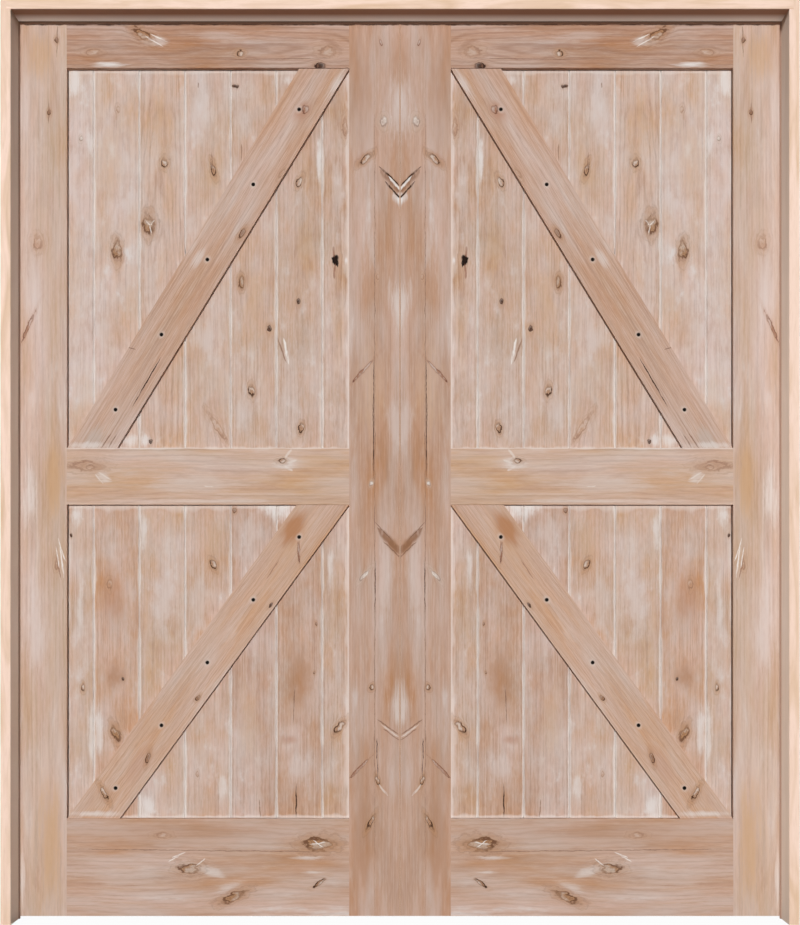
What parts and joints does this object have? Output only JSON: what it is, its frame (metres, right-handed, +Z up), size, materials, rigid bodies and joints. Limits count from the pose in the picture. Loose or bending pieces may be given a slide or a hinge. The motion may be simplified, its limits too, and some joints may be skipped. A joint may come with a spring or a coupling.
{
  "type": "exterior double door",
  "caption": "Pair of unfinished plank doors with rails and diagonal braces, hung on butt hinges in a rabbeted wood frame with weatherstrip; both leaves swing inwards.",
  "frame": {"origin": "bottom centre of the whole unit, on the line of the jamb feet", "axes": "+X to the right as seen from outside, +Y towards the inside, where the leaves swing, +Z up"},
  "size_m": [1.8598, 0.131, 2.1556],
  "materials": {
    "knotty_alder": "bare, sanded",
    "frame_wood": "bare, planed",
    "weatherstrip": "matte foam",
    "hinge_steel": "satin",
    "black_screws": "black oxide"
  },
  "bodies": {
    "frame": {"left_jamb": "frame_wood", "right_jamb": "frame_wood", "head_jamb": "frame_wood", "left_weatherstrip": "weatherstrip", "right_weatherstrip": "weatherstrip", "head_weatherstrip": "weatherstrip", "left_hinge_frame_plates": "hinge_steel", "left_hinge_pins": "hinge_steel", "right_hinge_frame_plates": "hinge_steel", "right_hinge_pins": "hinge_steel"},
    "left_leaf": {"left_hinge_stile": "knotty_alder", "left_lock_stile": "knotty_alder", "left_top_rail": "knotty_alder", "left_mid_rail": "knotty_alder", "left_bottom_rail": "knotty_alder", "left_upper_brace": "knotty_alder", "left_lower_brace": "knotty_alder", "left_upper_plank_1": "knotty_alder", "left_upper_plank_2": "knotty_alder", "left_upper_plank_3": "knotty_alder", "left_upper_plank_4": "knotty_alder", "left_upper_plank_5": "knotty_alder", "left_upper_plank_6": "knotty_alder", "left_upper_plank_7": "knotty_alder", "left_lower_plank_1": "knotty_alder", "left_lower_plank_2": "knotty_alder", "left_lower_plank_3": "knotty_alder", "left_lower_plank_4": "knotty_alder", "left_lower_plank_5": "knotty_alder", "left_lower_plank_6": "knotty_alder", "left_lower_plank_7": "knotty_alder", "left_brace_screws": "black_screws", "left_hinge_door_plates": "hinge_steel", "meeting_seal": "weatherstrip"},
    "right_leaf": {"right_hinge_stile": "knotty_alder", "right_lock_stile": "knotty_alder", "right_top_rail": "knotty_alder", "right_mid_rail": "knotty_alder", "right_bottom_rail": "knotty_alder", "right_upper_brace": "knotty_alder", "right_lower_brace": "knotty_alder", "right_upper_plank_1": "knotty_alder", "right_upper_plank_2": "knotty_alder", "right_upper_plank_3": "knotty_alder", "right_upper_plank_4": "knotty_alder", "right_upper_plank_5": "knotty_alder", "right_upper_plank_6": "knotty_alder", "right_upper_plank_7": "knotty_alder", "right_lower_plank_1": "knotty_alder", "right_lower_plank_2": "knotty_alder", "right_lower_plank_3": "knotty_alder", "right_lower_plank_4": "knotty_alder", "right_lower_plank_5": "knotty_alder", "right_lower_plank_6": "knotty_alder", "right_lower_plank_7": "knotty_alder", "right_brace_screws": "black_screws", "right_hinge_door_plates": "hinge_steel"}
  },
  "joints": [
    {"name": "left_leaf_swing", "type": "hinge", "parent": "frame", "child": "left_leaf", "pos_m": [-0.9144, 0.0585, 1.1223], "axis": [0, 0, 1], "range_deg": [0, 170]},
    {"name": "right_leaf_swing", "type": "hinge", "parent": "frame", "child": "right_leaf", "pos_m": [0.9144, 0.0585, 1.1223], "axis": [0, 0, -1], "range_deg": [0, 170]}
  ]
}
